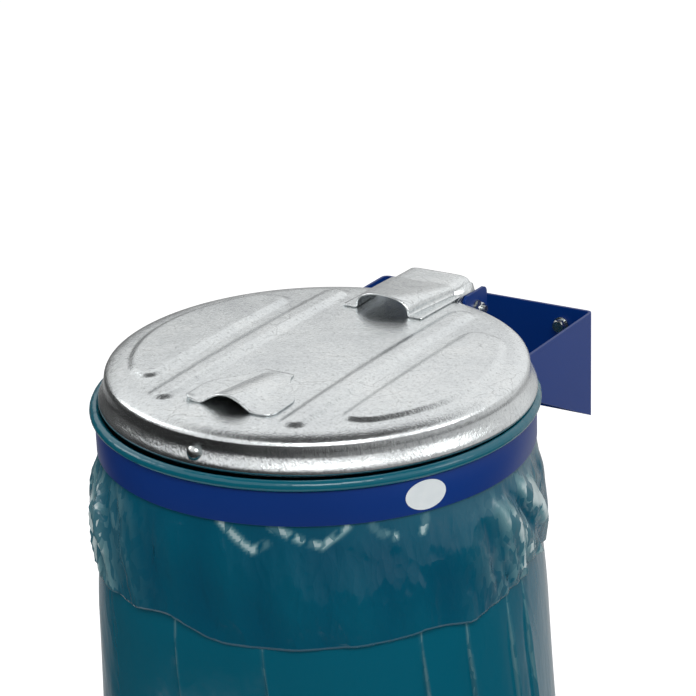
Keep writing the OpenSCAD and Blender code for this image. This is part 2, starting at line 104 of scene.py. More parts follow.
def write_mesh(name, points, faces):
    """Puts points in millimetres and lists of face corners into a new mesh in metres."""
    mesh = bpy.data.meshes.new(name)
    corners = [np.asarray(block, dtype=np.int32) for block in faces if len(block)]
    loops = np.concatenate([block.ravel() for block in corners])
    sizes = np.concatenate([np.full(len(block), block.shape[1]) for block in corners])
    starts = np.concatenate([[0], np.cumsum(sizes)[:-1]])
    mesh.vertices.add(len(points))
    mesh.vertices.foreach_set("co", (np.asarray(points) * MM).astype(np.float32).ravel())
    mesh.loops.add(len(loops))
    mesh.loops.foreach_set("vertex_index", loops.astype(np.int32))
    mesh.polygons.add(len(sizes))
    mesh.polygons.foreach_set("loop_start", starts.astype(np.int32))
    mesh.polygons.foreach_set("use_smooth", np.ones(len(sizes), dtype=bool))
    mesh.update(calc_edges=True)
    mesh.validate()
    return mesh


def add_piece(name, points, faces, material, body, replaces=()):
    """Makes an object from a grid surface, on a CAD body and in place of some CAD nodes."""
    thing = bpy.data.objects.new(name, write_mesh(name, points, faces))
    bpy.context.scene.collection.objects.link(thing)
    thing.data.materials.append(material)
    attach(thing, body)
    if replaces:
        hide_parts(*replaces)
    print(f"{name}: {len(points)} points")
    return thing


def smooth_path(points, count):
    """A curve through points: each span is a cubic that keeps the slope of its neighbours."""
    p = np.asarray(points, dtype=float)
    p = np.vstack([2 * p[0] - p[1], p, 2 * p[-1] - p[-2]])
    t = np.linspace(0, len(p) - 3, count)
    i = np.minimum(t.astype(int), len(p) - 4)
    u = (t - i)[:, None]
    a, b, c, d = p[i], p[i + 1], p[i + 2], p[i + 3]
    return 0.5 * (2 * b + (c - a) * u + (2 * a - 5 * b + 4 * c - d) * u**2
                  + (3 * b - a - 3 * c + d) * u**3)


def ease(x):
    """0 below 0, 1 above 1 and a smooth S between them."""
    x = np.clip(x, 0, 1)
    return x * x * (3 - 2 * x)


def turn(profile, steps, centre):
    """Carries a profile of (radius, height) round the vertical axis through centre."""
    angle = np.linspace(0, 2 * np.pi, steps, endpoint=False)
    r, z = profile[:, 0:1], profile[:, 1:2]
    points = np.stack([r * np.sin(angle), -r * np.cos(angle), z + 0 * angle], axis=-1)
    return points.reshape(-1, 3) + centre


# %% [markdown]
# ## Colour and material helpers
# Colours are written as the hex values that a picture editor shows, and one function turns them
# to the linear numbers that Cycles works in. One more function adds a shader node with its
# settings and links.

# %% Helpers for materials
def linear(hex_colour):
    """The linear red, green, blue and alpha of an sRGB hex colour."""
    srgb = np.array([int(hex_colour[i:i + 2], 16) for i in (1, 3, 5)]) / 255
    value = np.where(srgb <= 0.04045, srgb / 12.92, ((srgb + 0.055) / 1.055) ** 2.4)
    return (*value.tolist(), 1.0)


def node(tree, kind, settings=None, values=None, links=None):
    """Adds a shader node, sets its options and sockets, and links sockets to it."""
    made = tree.nodes.new(kind)
    for key, value in (settings or {}).items():
        setattr(made, key, value)
    for key, value in (values or {}).items():
        made.inputs[key].default_value = value
    for key, source in (links or {}).items():
        tree.links.new(source, made.inputs[key])
    return made


def start_material(name, **values):
    """A material with one Principled shader, whose constant sockets are set here."""
    material = bpy.data.materials.new(name)
    material.use_nodes = True
    tree = material.node_tree
    shader = tree.nodes["Principled BSDF"]
    for key, value in values.items():
        shader.inputs[key.replace("_", " ")].default_value = value
    place = node(tree, "ShaderNodeTexCoord").outputs["Object"]
    return material, tree, shader, place


def ramp(tree, source, stops):
    """A Color Ramp on a value: stops are (position, colour) pairs."""
    made = node(tree, "ShaderNodeValToRGB", links={"Fac": source})
    elements = made.color_ramp.elements
    while len(elements) < len(stops):
        elements.new(0.5)
    for element, (position, colour) in zip(elements, stops):
        element.position = position
        element.color = linear(colour) if isinstance(colour, str) else (colour, colour, colour, 1)
    return made.outputs["Color"]


# %% [markdown]
# ## Powder-coated steel
# The bracket and the band are folded mild steel with a dark blue polyester powder coat. The
# powder melts and flows, and leaves a faint orange-peel with waves about 2 mm apart. That blurs
# reflections a little. The colour is even, a touch duller where it was handled.

# %% Material: powder coat
def make_powder_coat():
    material, tree, shader, place = start_material("polyester_powder_coat", Roughness=0.33,
                                                   Specular_IOR_Level=0.3)
    drift = node(tree, "ShaderNodeTexNoise", values={"Scale": 6.0, "Detail": 2.0},
                 links={"Vector": place}).outputs["Fac"]
    colour = ramp(tree, drift, [(0.3, "#002f78"), (0.7, "#00337f")])
    tree.links.new(colour, shader.inputs["Base Color"])
    peel = node(tree, "ShaderNodeTexNoise", values={"Scale": 500.0, "Detail": 1.0},
                links={"Vector": place}).outputs["Fac"]
    bump = node(tree, "ShaderNodeBump", values={"Strength": 0.05, "Distance": 0.0004},
                links={"Height": peel})
    tree.links.new(bump.outputs["Normal"], shader.inputs["Normal"])
    return material


powder_coat = make_powder_coat()

# %% [markdown]
# ## Hot-dip galvanised sheet
# Zinc freezes on the lid in crystals, the spangle, 5 to 15 mm across on this kind of sheet. Each
# one reflects a little differently, so the roughness and the brightness change from crystal to
# crystal. Between them the surface is finely pitted, and that breaks up every sharp reflection.

# %% Material: galvanised sheet
def make_galvanised(name, pit_strength):
    material, tree, shader, place = start_material(name, Metallic=1.0)
    warp = node(tree, "ShaderNodeTexNoise", values={"Scale": 40.0, "Detail": 3.0},
                links={"Vector": place}).outputs["Color"]
    bent = node(tree, "ShaderNodeMix", {"data_type": "VECTOR"}, {"Factor": 0.02},
                {"A": place, "B": warp}).outputs[1]
    crystal = node(tree, "ShaderNodeTexVoronoi", {"feature": "F1"}, {"Scale": 160.0},
                   {"Vector": bent}).outputs["Color"]
    cloud = node(tree, "ShaderNodeTexNoise", values={"Scale": 14.0, "Detail": 4.0},
                 links={"Vector": place}).outputs["Fac"]
    shade = node(tree, "ShaderNodeMix", {"data_type": "FLOAT"}, {"Factor": 0.2},
                 {"A": cloud, "B": crystal}).outputs[0]
    colour = ramp(tree, shade, [(0.25, "#d3d7d9"), (0.5, "#e0e4e5"), (0.75, "#eaeded")])
    speck = node(tree, "ShaderNodeTexNoise", values={"Scale": 330.0, "Detail": 4.0, "Roughness": 0.7},
                 links={"Vector": place}).outputs["Fac"]
    grain = ramp(tree, speck, [(0.3, 0.6), (0.42, 0.93), (0.6, 1.0)])
    lines = node(tree, "ShaderNodeTexVoronoi", {"feature": "DISTANCE_TO_EDGE"}, {"Scale": 21.0},
                 {"Vector": bent}).outputs["Distance"]
    scratch = ramp(tree, lines, [(0.0, 0.72), (0.012, 1.0)])
    where = ramp(tree, cloud, [(0.5, 1.0), (0.58, 0.0)])
    scratch = node(tree, "ShaderNodeMix", {"data_type": "RGBA"}, {"B": (1, 1, 1, 1)},
                   {"Factor": where, "A": scratch}).outputs[2]
    for mask in (grain, scratch):
        colour = node(tree, "ShaderNodeMix", {"data_type": "RGBA", "blend_type": "MULTIPLY"},
                      {"Factor": 1.0}, {"A": colour, "B": mask}).outputs[2]
    tree.links.new(colour, shader.inputs["Base Color"])
    rough = node(tree, "ShaderNodeMapRange", values={"From Min": 0.2, "From Max": 0.8,
                 "To Min": 0.17, "To Max": 0.27}, links={"Value": shade}).outputs[0]
    tree.links.new(rough, shader.inputs["Roughness"])
    drawn = node(tree, "ShaderNodeMapping", values={"Scale": (1.0, 1.0, 0.12)},
                 links={"Vector": place}).outputs[0]
    pits = node(tree, "ShaderNodeTexNoise", values={"Scale": 520.0, "Detail": 3.0, "Roughness": 0.6},
                links={"Vector": drawn}).outputs["Fac"]
    waves = node(tree, "ShaderNodeTexNoise", values={"Scale": 45.0, "Detail": 3.0},
                 links={"Vector": place}).outputs["Fac"]
    low_bump = node(tree, "ShaderNodeBump", values={"Strength": 0.18, "Distance": 0.002},
                    links={"Height": waves})
    bump = node(tree, "ShaderNodeBump", values={"Strength": pit_strength, "Distance": 0.001},
                links={"Height": pits, "Normal": low_bump.outputs["Normal"]})
    tree.links.new(bump.outputs["Normal"], shader.inputs["Normal"])
    return material


galvanised = make_galvanised("hot_dip_galvanised_sheet", 0.36)

# %% [markdown]
# ## Zinc-plated screws, rolled steel and the blank label
# The screws are bright zinc plate, smoother than the lid. The inner ring is bare rolled steel. The
# label is a glossy paper sticker, left blank.

# %% Materials: zinc plate, rolled steel and sticker
def make_plain_metal(name, light, dark, roughness):
    material, tree, shader, place = start_material(name, Metallic=1.0, Roughness=roughness)
    cloud = node(tree, "ShaderNodeTexNoise", values={"Scale": 180.0, "Detail": 3.0},
                 links={"Vector": place}).outputs["Fac"]
    tree.links.new(ramp(tree, cloud, [(0.3, dark), (0.7, light)]), shader.inputs["Base Color"])
    bump = node(tree, "ShaderNodeBump", values={"Strength": 0.08, "Distance": 0.0003},
                links={"Height": cloud})
    tree.links.new(bump.outputs["Normal"], shader.inputs["Normal"])
    return material


def make_sticker():
    material, tree, shader, place = start_material("coated_paper_sticker", Roughness=0.28)
    cloud = node(tree, "ShaderNodeTexNoise", values={"Scale": 60.0},
                 links={"Vector": place}).outputs["Fac"]
    tree.links.new(ramp(tree, cloud, [(0.3, "#dfe7ea"), (0.7, "#e8eef0")]),
                   shader.inputs["Base Color"])
    return material


zinc_plate = make_plain_metal("bright_zinc_plate", "#d3d6d5", "#a9adad", 0.24)
rolled_steel = make_plain_metal("cold_rolled_steel", "#b4b7b8", "#8f9496", 0.35)
sticker = make_sticker()

# %% [markdown]
# ## Polyethylene film
# The sack is low-density polyethylene film of about 0.06 mm. It is dyed teal and has a soft gloss.
# The mesh carries three numbers at each point: how white the film is there, which gives pale pleat
# lines, painted glints and a painted sheen; its tint, which carries painted shade and a painted
# backlight; and how crinkled it is.

# %% Material: polyethylene film
def make_film():
    material, tree, shader, place = start_material("polyethylene_film", Specular_IOR_Level=0.5,
                                                   IOR=1.51)
    # Two numbers from the mesh set the colour: the tint, with painted shade on the folds and a painted
    # backlight on the rim, and the white, with pale pleat lines, painted glints and painted sheen.
    tone = node(tree, "ShaderNodeAttribute", {"attribute_name": "tone"}).outputs["Fac"]
    pale = node(tree, "ShaderNodeAttribute", {"attribute_name": "pale"}).outputs["Fac"]
    long_way = node(tree, "ShaderNodeMapping", values={"Scale": (1.0, 1.0, 0.5)},
                    links={"Vector": place}).outputs[0]
    warp = node(tree, "ShaderNodeTexNoise", values={"Scale": 25.0, "Detail": 3.0},
                links={"Vector": long_way}).outputs["Color"]
    bent = node(tree, "ShaderNodeMix", {"data_type": "VECTOR"}, {"Factor": 0.035},
                {"A": long_way, "B": warp}).outputs[1]
    # The teal tint: darker in the hollows of the folds and lightest on the rim over the bead, which is
    # painted shade and painted backlight.
    colour = ramp(tree, tone, [(0.0, "#004660"), (0.5, "#005c72"), (1.0, "#036072")])
    # Painted glints: the white is broken into small facets, so each facet either shows a painted highlight
    # or keeps the teal.
    glint_facets = node(tree, "ShaderNodeTexVoronoi", {"feature": "F1"}, {"Scale": 150.0},
                  {"Vector": bent}).outputs["Color"]
    chance = node(tree, "ShaderNodeMapRange", values={"From Min": 0.42, "From Max": 0.62,
                  "To Min": 0.45, "To Max": 1.15}, links={"Value": glint_facets}).outputs[0]
    pale = node(tree, "ShaderNodeMath", {"operation": "MULTIPLY", "use_clamp": True},
                links={0: pale, 1: chance}).outputs[0]
    # Grey-teal for the painted sheen on the wrinkled bunches and for the pale pleat lines, near white for
    # the painted glints.
    white = ramp(tree, pale, [(0.0, "#5f8f96"), (0.7, "#7aa3a8"), (1.0, "#e4f0f0")])
    tint_and_painted_glints = node(tree, "ShaderNodeMix", {"data_type": "RGBA"}, links={"Factor": pale, "A": colour,
                "B": white}).outputs[2]
    tree.links.new(tint_and_painted_glints, shader.inputs["Base Color"])
    rough = node(tree, "ShaderNodeMapRange", values={"To Min": 0.15, "To Max": 0.34},
                 links={"Value": pale}).outputs[0]
    tree.links.new(rough, shader.inputs["Roughness"])
    crinkle = node(tree, "ShaderNodeAttribute", {"attribute_name": "crinkle"}).outputs["Fac"]
    facets = node(tree, "ShaderNodeTexVoronoi", {"feature": "F1"}, {"Scale": 30.0},
                  {"Vector": bent})
    small = node(tree, "ShaderNodeTexVoronoi", {"feature": "F1"}, {"Scale": 85.0},
                 {"Vector": bent})
    both = node(tree, "ShaderNodeMath", {"operation": "MULTIPLY_ADD"}, {1: 0.3},
                {0: small.outputs["Distance"], 2: facets.outputs["Distance"]})
    height = node(tree, "ShaderNodeMath", {"operation": "MULTIPLY"},
                  links={0: both.outputs[0], 1: crinkle})
    bump = node(tree, "ShaderNodeBump", values={"Strength": 1.0, "Distance": 0.009},
                links={"Height": height.outputs[0]})
    tree.links.new(bump.outputs["Normal"], shader.inputs["Normal"])
    return material


film = make_film()

# %% [markdown]
# ## Finishes for the CAD nodes that stay
# The folded bracket, the hinge lugs and the screws already have their true shapes, so they keep
# their meshes and only take the materials.

# %% Paint the CAD nodes
FINISHES = {
    "blue_coat": powder_coat, "galvanised_sheet": galvanised, "ring_steel": rolled_steel,
    "zinc_fastener": zinc_plate, "film": film, "label": sticker,
}
for part in frame["record"]["subparts"]:
    mesh = frame["nodes"][part["node"]].data
    mesh.materials.clear()
    mesh.materials.append(FINISHES[part["material_slot"]])
print("finished CAD nodes:", len(frame["nodes"]))

# %% [markdown]
# ## Holder band
# The band is a strip of 34 by 2 mm steel rolled into a ring. Its edges are slightly rounded, and
# that is where the thin highlight comes from, so the profile has four small corner arcs and is
# carried round the ring in fine steps.

# %% Piece: holder band
def rounded_box(x0, x1, z0, z1, radius, steps=4):
    """A closed rectangle profile whose corners are quarter circles."""
    centres = [(x1 - radius, z1 - radius, 0), (x0 + radius, z1 - radius, 90),
               (x0 + radius, z0 + radius, 180), (x1 - radius, z0 + radius, 270)]
    arcs = []
    for cx, cz, begin in centres:
        a = np.radians(begin + np.linspace(0, 90, steps))
        arcs.append(np.stack([cx + radius * np.cos(a), cz + radius * np.sin(a)], axis=1))
    return np.vstack(arcs)


def closed_ring(profile, steps, centre):
    """Points and faces of a closed profile carried round, with the faces pointing outwards."""
    points = turn(profile, steps, centre)
    faces = grid_quads(len(profile), steps, closed=True)
    index = np.arange(len(profile) * steps).reshape(len(profile), steps)
    seam = np.stack([index[-1], np.roll(index[-1], -1), np.roll(index[0], -1), index[0]], axis=1)
    return points, np.vstack([faces, seam])[:, ::-1]


points, faces = closed_ring(rounded_box(213.0, BAND_R, -BAND_H, 0.0, 0.5), 480, RING)
band = add_piece("band_steel", points, [faces], powder_coat, "holder",
                 ["holder_band"])

# %% [markdown]
# ## Inner ring
# Inside the band hangs a thinner ring with a rolled bead at its top. The film hides nearly all of
# it, but it shows from below and with the lid open.

# %% Piece: inner ring
def ring_profile():
    """A thin wall whose top is rolled outwards into an 8 mm bead."""
    a = np.radians(np.linspace(200, -150, 28))
    bead = np.stack([BEAD_X + BEAD_R * np.cos(a), BEAD_Z + BEAD_R * np.sin(a)], axis=1)
    return np.vstack([[[209.65, -30.0], [209.65, 4.0]], bead, [[211.05, 2.8], [211.05, -30.0]]])


points, faces = closed_ring(ring_profile()[::-1], 360, RING)
ring = add_piece("ring_steel_wall", points, [faces], rolled_steel, "holder",
                 ["inner_ring"])

# %% [markdown]
# ## Lid
# The lid is one deep-drawn disc: a crowned top, two long ribs and two side panels pressed up from
# it, a rounded shoulder, and a flared skirt. The top is a height that depends only on the place,
# so it can be computed for a whole polar grid: the crown, plus a soft step inside each outline.
# A signed distance to each outline says how far inside a point is.

# %% Height of the lid's top
PRESS_H, RIB_FLANK, PANEL_FLANK = 3.2, 10.0, 8.0
RIB_X, RIB_R, RIB_FRONT, RIB_BACK = 73.5, 16.0, 169.0, 168.0
PANEL_X, PANEL_R, PANEL_FRONT, PANEL_BACK, CORNER = 102.0, 184.0, 132.0, 122.0, 17.0
CROWN_END = 186.0


def rib_inside(x, y):
    """Distance inside a long rib with round ends, and the same for its mirror image."""
    along = np.clip(y, -RIB_FRONT + RIB_R, RIB_BACK - RIB_R)
    return RIB_R - np.hypot(np.abs(x) - RIB_X, y - along)


def panel_inside(x, y):
    """Distance inside a side panel: the smallest of three distances, with rounded corners."""
    dx = PANEL_X + CORNER - np.abs(x)
    dy = np.maximum(y - (PANEL_BACK - CORNER), -y - (PANEL_FRONT - CORNER))
    dr = np.hypot(x, y) - (PANEL_R - CORNER)
    out = np.sqrt(np.maximum(dx, 0) ** 2 + np.maximum(dy, 0) ** 2 + np.maximum(dr, 0) ** 2)
    return CORNER - np.where(out > 0, out, np.maximum(np.maximum(dx, dy), dr))


def lid_height(x, y):
    """Height over the band's top edge: the crown and the two kinds of pressing."""
    r2 = x * x + y * y
    crown = LID_FLAT + LID_CROWN * (1 - r2 / LID_R**2)
    rise = ease(rib_inside(x, y) / RIB_FLANK) + ease(panel_inside(x, y) / PANEL_FLANK)
    return crown + PRESS_H * rise


# %% [markdown]
# The skirt is a profile. Below the edge it drops almost straight, swells once, then flares out to
# a hem that is turned in. The swell and the flare make the dark and bright bands that run round
# the lid, because each slope shows another part of the room.

# %% Piece: lid
def lid_profile():
    """(radius, height) from the end of the crown down the shoulder and the skirt."""
    base = LID_FLAT + LID_CROWN * (1 - (CROWN_END / LID_R) ** 2)
    shoulder = smooth_path([[CROWN_END, base], [191, base - 0.55], [196, base - 1.5],
                            [200, base - 2.8], [203, base - 4.3], [205, base - 6.0],
                            [206.2, base - 8.0]], 24)
    skirt = np.array([[206.4, base - 8.6], [206.8, base - 10.6], [207.0, LID_EDGE - 5.6],
                      [207.2, LID_EDGE - 8.4], [207.8, LID_EDGE - 11.2],
                      [209.1, LID_EDGE - 14.4], [210.8, LID_EDGE - 17.8], [212.5, LID_EDGE - 21.0],
                      [213.5, LID_EDGE - 23.6], [213.7, LID_EDGE - 25.4], [213.4, LID_EDGE - 26.8],
                      [212.8, LID_EDGE - 27.8], [211.9, LID_EDGE - 27.9]])
    return shoulder, smooth_path(skirt, 40)


def polar(radii, heights, steps, middle):
    """Points of rings of the given radii, with the height of the pressings inside the crown."""
    angle = np.linspace(0, 2 * np.pi, steps, endpoint=False)
    x, y = radii[:, None] * np.sin(angle), -radii[:, None] * np.cos(angle)
    z = np.where(np.isnan(heights)[:, None], lid_height(x, y), heights[:, None] + 0 * x)
    return np.stack([x, y, z], axis=-1).reshape(-1, 3) + middle


def lid_shell():
    """The outer surface in fine steps, the inner one in coarse steps, joined along the hem."""
    shoulder, skirt = lid_profile()
    inside = np.concatenate([np.linspace(1.2, 150, 56), np.linspace(152.2, CROWN_END - 1.5, 18)])
    outer = np.concatenate([inside, shoulder[:, 0], skirt[:, 0]])
    outer_z = np.concatenate([np.full(len(inside), np.nan), shoulder[:, 1], skirt[:, 1]])
    fine, coarse = 520, 260
    top = polar(outer, outer_z, fine, LID)
    inner_r = np.concatenate([np.linspace(1.2, CROWN_END - 1.5, 60),
                              shoulder[::4, 0] - SHEET / 2, skirt[3::4, 0] - SHEET])
    inner_z = np.concatenate([np.full(60, np.nan), shoulder[::4, 1] - SHEET,
                              skirt[3::4, 1]])
    order = np.arange(len(inner_r))
    under = polar(inner_r, inner_z, coarse, LID)
    flat = np.isnan(inner_z)[order].repeat(coarse)
    under[flat, 2] -= SHEET
    n_top, n_under = len(top), len(under)
    tops = grid_quads(len(outer), fine, closed=True)
    unders = grid_quads(len(inner_r), coarse, closed=True)[:, ::-1] + n_top
    rim = n_top - fine + np.arange(fine)
    hem = n_top + n_under - coarse + np.arange(coarse)
    far, near = np.roll(rim, -1)[::2], rim[::2]
    fan = np.vstack([np.stack([near, far, hem], axis=1), np.stack([far, np.roll(hem, -1), hem], axis=1),
                     np.stack([far, np.roll(near, -1), np.roll(hem, -1)], axis=1)])[:, ::-1]
    middle = LID + [0, 0, float(lid_height(np.zeros(1), np.zeros(1))[0])]
    points = np.vstack([top, under, middle, middle - [0, 0, SHEET]])
    first, second = n_top + n_under, n_top + n_under + 1
    caps = [np.stack([np.full(fine, first), np.roll(np.arange(fine), -1), np.arange(fine)], axis=1)[:, ::-1],
            np.stack([np.full(coarse, second), n_top + np.roll(np.arange(coarse), -1),
                      n_top + np.arange(coarse)], axis=1)]
    return points, [tops[:, ::-1], unders[:, ::-1], fan, caps[0], caps[1]]


points, faces = lid_shell()
lid = add_piece("lid_pressed_sheet", points, faces, galvanised, "lid", ["lid"])

# %% [markdown]
# ## Handle
# The handle is a thin plate spot-welded on the lid. A punch has raised an arch in its middle for
# the fingers, highest at the front edge and fading to nothing at the back. One front corner has
# been bent up in use. The plate is a grid that follows the lid, with the arch added to its height.

# %% Piece: handle
GRIP_Y, GRIP_X, GRIP_L, GRIP_H = 157.0, 50.0, 92.0, 12.0


def handle_surface(rows=64, columns=97):
    """Grid of the plate's underside: s runs across and v runs back from the front edge."""
    v, s = np.meshgrid(np.linspace(0, GRIP_L, rows), np.linspace(-1, 1, columns), indexing="ij")
    front = GRIP_X - 12 + np.sqrt(np.maximum(144 - np.maximum(12 - v, 0) ** 2, 0))
    width = front - (GRIP_X - 16) * ease((v - 34) / (GRIP_L - 34))
    x, y = s * width, v - GRIP_Y
    fade = 1 - v / GRIP_L
    reach = 29 * (0.35 + 0.65 * fade)
    arch = GRIP_H * fade**1.1 * np.maximum(1 - (x / reach) ** 2, 0) ** 1.4
    curl = 5.0 * ease((-x - 34) / 16) * (1 - ease(v / 16)) ** 2
    z = LID_FLAT + LID_CROWN * (1 - (x * x + y * y) / LID_R**2) + 0.3 + arch + curl
    return np.stack([x, y, z], axis=-1).reshape(-1, 3) + LID, rows, columns


points, rows, columns = handle_surface()
handle = add_piece("handle_plate", points, [grid_quads(rows, columns)], galvanised, "lid",
                   ["lid_handle"])
plate = handle.modifiers.new("sheet_thickness", "SOLIDIFY")
plate.thickness = 0.0016
plate.offset = 1.0

# %% [markdown]
# ## Hinge plate
# The hinge plate is pressed from one sheet: two flat wings lie on the lid, and between them a hood
# rises from a wide low mouth to a box that runs back to the hinge bolt. Each cross-section is a
# superellipse, round at the mouth and nearly square at the tail, so one formula covers the whole.
# Behind the lid two cheeks go down on both sides of the hinge bolt.

# %% Piece: hinge plate
MOUTH_Y, TAIL_Y, ROOF_Y, WING_X, PIVOT = 123.0, 203.0, 238.0, 46.0, np.array([242.0, 22.0])


def hood_surface(rows=72):
    """Grid of the hood's top face, from the mouth to the end of its roof, wings included."""
    y = np.linspace(MOUTH_Y, ROOF_Y, rows)[:, None]
    v = np.clip((y - MOUTH_Y) / (TAIL_Y - MOUTH_Y), 0, 1)
    base = LID_FLAT + LID_CROWN * (1 - np.minimum(y, LID_R) ** 2 / LID_R**2) + 0.3
    top = 67.0 - 11.0 * v**0.9 - 0.6 * ease((y - TAIL_Y) / 35)
    half, power = 31.0 + 6.5 * v, 2.3 + 4.5 * v**0.8
    a = np.linspace(np.pi, 0, 65)[None, :]
    x = half * np.sign(np.cos(a)) * np.abs(np.cos(a)) ** (2 / power)
    behind = np.clip((y - TAIL_Y) / 4, 0, 1)
    foot = base - 14.0 * behind
    z = foot + (top - foot) * np.sin(a) ** (2 / power)
    wing = np.linspace(1, 0, 9)[None, :-1]
    edge = WING_X - half
    reach = edge * (1 - behind) * wing
    left, right = -half - reach, half + reach[:, ::-1]
    flat = foot + 0 * left
    x, z = np.hstack([left, x, right]), np.hstack([flat, z, flat])
    return np.stack([x, y + 0 * x, z + 1.6], axis=-1).reshape(-1, 3) + LID, rows, x.shape[1]


def cheek_outline():
    """The side wall behind the lid as (y, z) corners, round below the hinge bolt."""
    a = np.radians(np.linspace(20, -125, 24))
    arc = PIVOT + 12.0 * np.stack([np.cos(a), np.sin(a)], axis=1)
    return np.vstack([[[TAIL_Y + 1, 48.0], [TAIL_Y + 1, 51.0], [239.0, 51.0], [243.5, 48.0]], arc,
                      [[211.0, 32.0]]])


def cheeks():
    """Both side walls as flat sheets at the sides of the hood."""
    outline = cheek_outline()
    n = len(outline)
    flat = [np.column_stack([np.full(n, side * 36.7), outline]) for side in (-1, 1)]
    return np.vstack(flat) + LID, [np.arange(n)[None, ::-1], n + np.arange(n)[None, :]]


points, rows, columns = hood_surface()
hood = add_piece("hinge_plate_hood", points, [grid_quads(rows, columns)], galvanised, "lid",
                 ["lid_hinge_plate"])
points, faces = cheeks()
cheek = add_piece("hinge_plate_cheeks", points, faces, galvanised, "lid")
for thing, offset in ((hood, -1.0), (cheek, 0.0)):
    plate = thing.modifiers.new("sheet_thickness", "SOLIDIFY")
    plate.thickness = 0.0016
    plate.offset = offset

# %% [markdown]
# ## Edges of the folded pieces
# A sheared and coated edge is never sharp. A small bevel on every edge over 40 degrees gives the
# bracket, the lugs and the screws the thin bright line that a real edge shows.

# %% Bevels on the CAD nodes that stay
def soften(names, width):
    """Rounds the hard edges of CAD nodes and shades what lies between them smoothly."""
    for name in names:
        thing = frame["nodes"][name]
        bevel = thing.modifiers.new("edge", "BEVEL")
        bevel.width, bevel.segments = width * MM, 2
        bevel.limit_method, bevel.angle_limit = "ANGLE", math.radians(40)
        bevel.harden_normals = True
        for polygon in thing.data.polygons:
            polygon.use_smooth = True
        thing.data.set_sharp_from_angle(angle=math.radians(35))
    print("softened:", len(names), "nodes by", width, "mm")


soften(["wall_bracket", "hinge_bracket"], 0.6)
soften([n for n in frame["nodes"] if n.startswith(("wall_bolt", "hinge_bolt", "hinge_nut"))], 0.3)

# %% [markdown]
# ## Film sack
# The sack is one tube of film. Its mouth hangs outside, below the band. It comes up between the
# band and the inner ring, turns over the bead and runs down inside, where the tube slowly goes
# flat towards its seam. The grid follows that path in one direction and the ring in the other.

# %% The path of the film
SACK_W = 700.0
FILM_OUT, FILM_IN = 212.1, 208.6
CUFF_END = -152.0
SACK_END = -935.0


def film_path():
    """(radius, height, part) down the film: part is 0 on the cuff, 1 on the rim and 2 inside."""
    u = np.linspace(1, 0, 50)
    cuff = np.stack([FILM_OUT + 10.5 * np.sin(np.minimum(1, u * 1.5) * np.pi / 2) ** 1.1,
                     -BAND_H - 1.0 + (CUFF_END + BAND_H + 1.0) * u**1.05, 0 * u], axis=1)
    gap = np.array([[FILM_OUT, -28.0, 0.5], [FILM_OUT, -12.0, 0.5], [FILM_OUT, -1.5, 0.5],
                    [FILM_OUT + 0.5, 0.9, 1.0]])
    a = np.radians(np.linspace(-84, 118, 16))
    rim = np.stack([BEAD_X + 5.1 * np.cos(a), BEAD_Z + 5.1 * np.sin(a), 0 * a + 1], axis=1)
    neck = np.array([[FILM_IN, 7.4, 1.0], [FILM_IN, 0.0, 1.5], [FILM_IN, -16.0, 1.5],
                     [FILM_IN, -31.0, 2.0]])
    fall = -31.0 + (SACK_END + 31.0) * np.linspace(0, 1, 52)[1:] ** 1.5
    tube = np.stack([0 * fall + FILM_IN, fall, 0 * fall + 2], axis=1)
    return np.vstack([cuff, gap, rim, neck, tube])


def half_axes(height):
    """Half width and half depth of the hanging tube: its girth stays the same as it goes flat."""
    t = np.clip((-35.0 - height) / (-35.0 - SACK_END), 0, 1)
    a = FILM_IN + 3.0 * ease(-(height + 31) / 90) + (SACK_W / 2 - 4 - FILM_IN - 3.0) * t**1.35
    girth = 2 * SACK_W - 8
    b = a.copy()
    for _ in range(30):
        h = ((a - b) / (a + b)) ** 2
        b = b + (girth - np.pi * (a + b) * (1 + 3 * h / (10 + np.sqrt(4 - 3 * h)))) / 7
        b = np.clip(b, 1.2, np.minimum(a, 221))
    return a, b


# %% [markdown]
# Film creases are sharp. A sum of triangle waves in several directions gives flat facets with
# sharp ridges between them, where a sum of sines would give soft dunes. The waves are stretched
# downwards, because the weight of the sack pulls its folds straight.

# %% Creases
def triangle(x):
    """A wave of period 1 that goes straight up from 0 to 1 and straight down again."""
    return 2 * np.abs(x - np.floor(x + 0.5))


def crumple(u, v, seed, count, size):
    """Sum of triangle waves over (u, v) in millimetres, in directions drawn once from the seed."""
    draw = np.random.default_rng(seed)
    total = 0 * u
    for _ in range(count):
        way, length = draw.uniform(0, np.pi), size * draw.uniform(0.6, 1.8)
        bend = 6 * np.sin(u / draw.uniform(20, 60) + draw.uniform(0, 6))
        total = total + triangle((u * np.cos(way) + (v + bend) * np.sin(way)) / length
                                 + draw.uniform(0, 1)) * length / size
    return total / count - 0.5


def bump_at(x, middle, width):
    """A smooth hump round middle, falling to nothing beyond about twice the width."""
    return np.exp(-((x - middle) / width) ** 2)


# %% Piece: sack
HEM_ANGLE = [-180, -120, -75, -51, -33, -20, -7, 7, 18, 32, 43, 52, 58, 71, 80, 91, 98, 130, 180]
HEM_DROP = [-146, -140, -128, -126, -146, -147, -138, -155, -156, -155, -154, -153, -147, -156,
            -152, -141, -131, -138, -146]
PLEATS = [-6, 18, 57, 70, 85, 93]
# Strokes of painted glints on the cuff below the band, as corners in degrees round and height.
GLINTS = [[(7.8, -36), (16.3, -59), (19.7, -52)], [(21.3, -36), (29.4, -49), (33.4, -54), (39.8, -37)],
          [(45.6, -36), (47.2, -46), (51.4, -52)], [(60.2, -40), (58.4, -52)]]


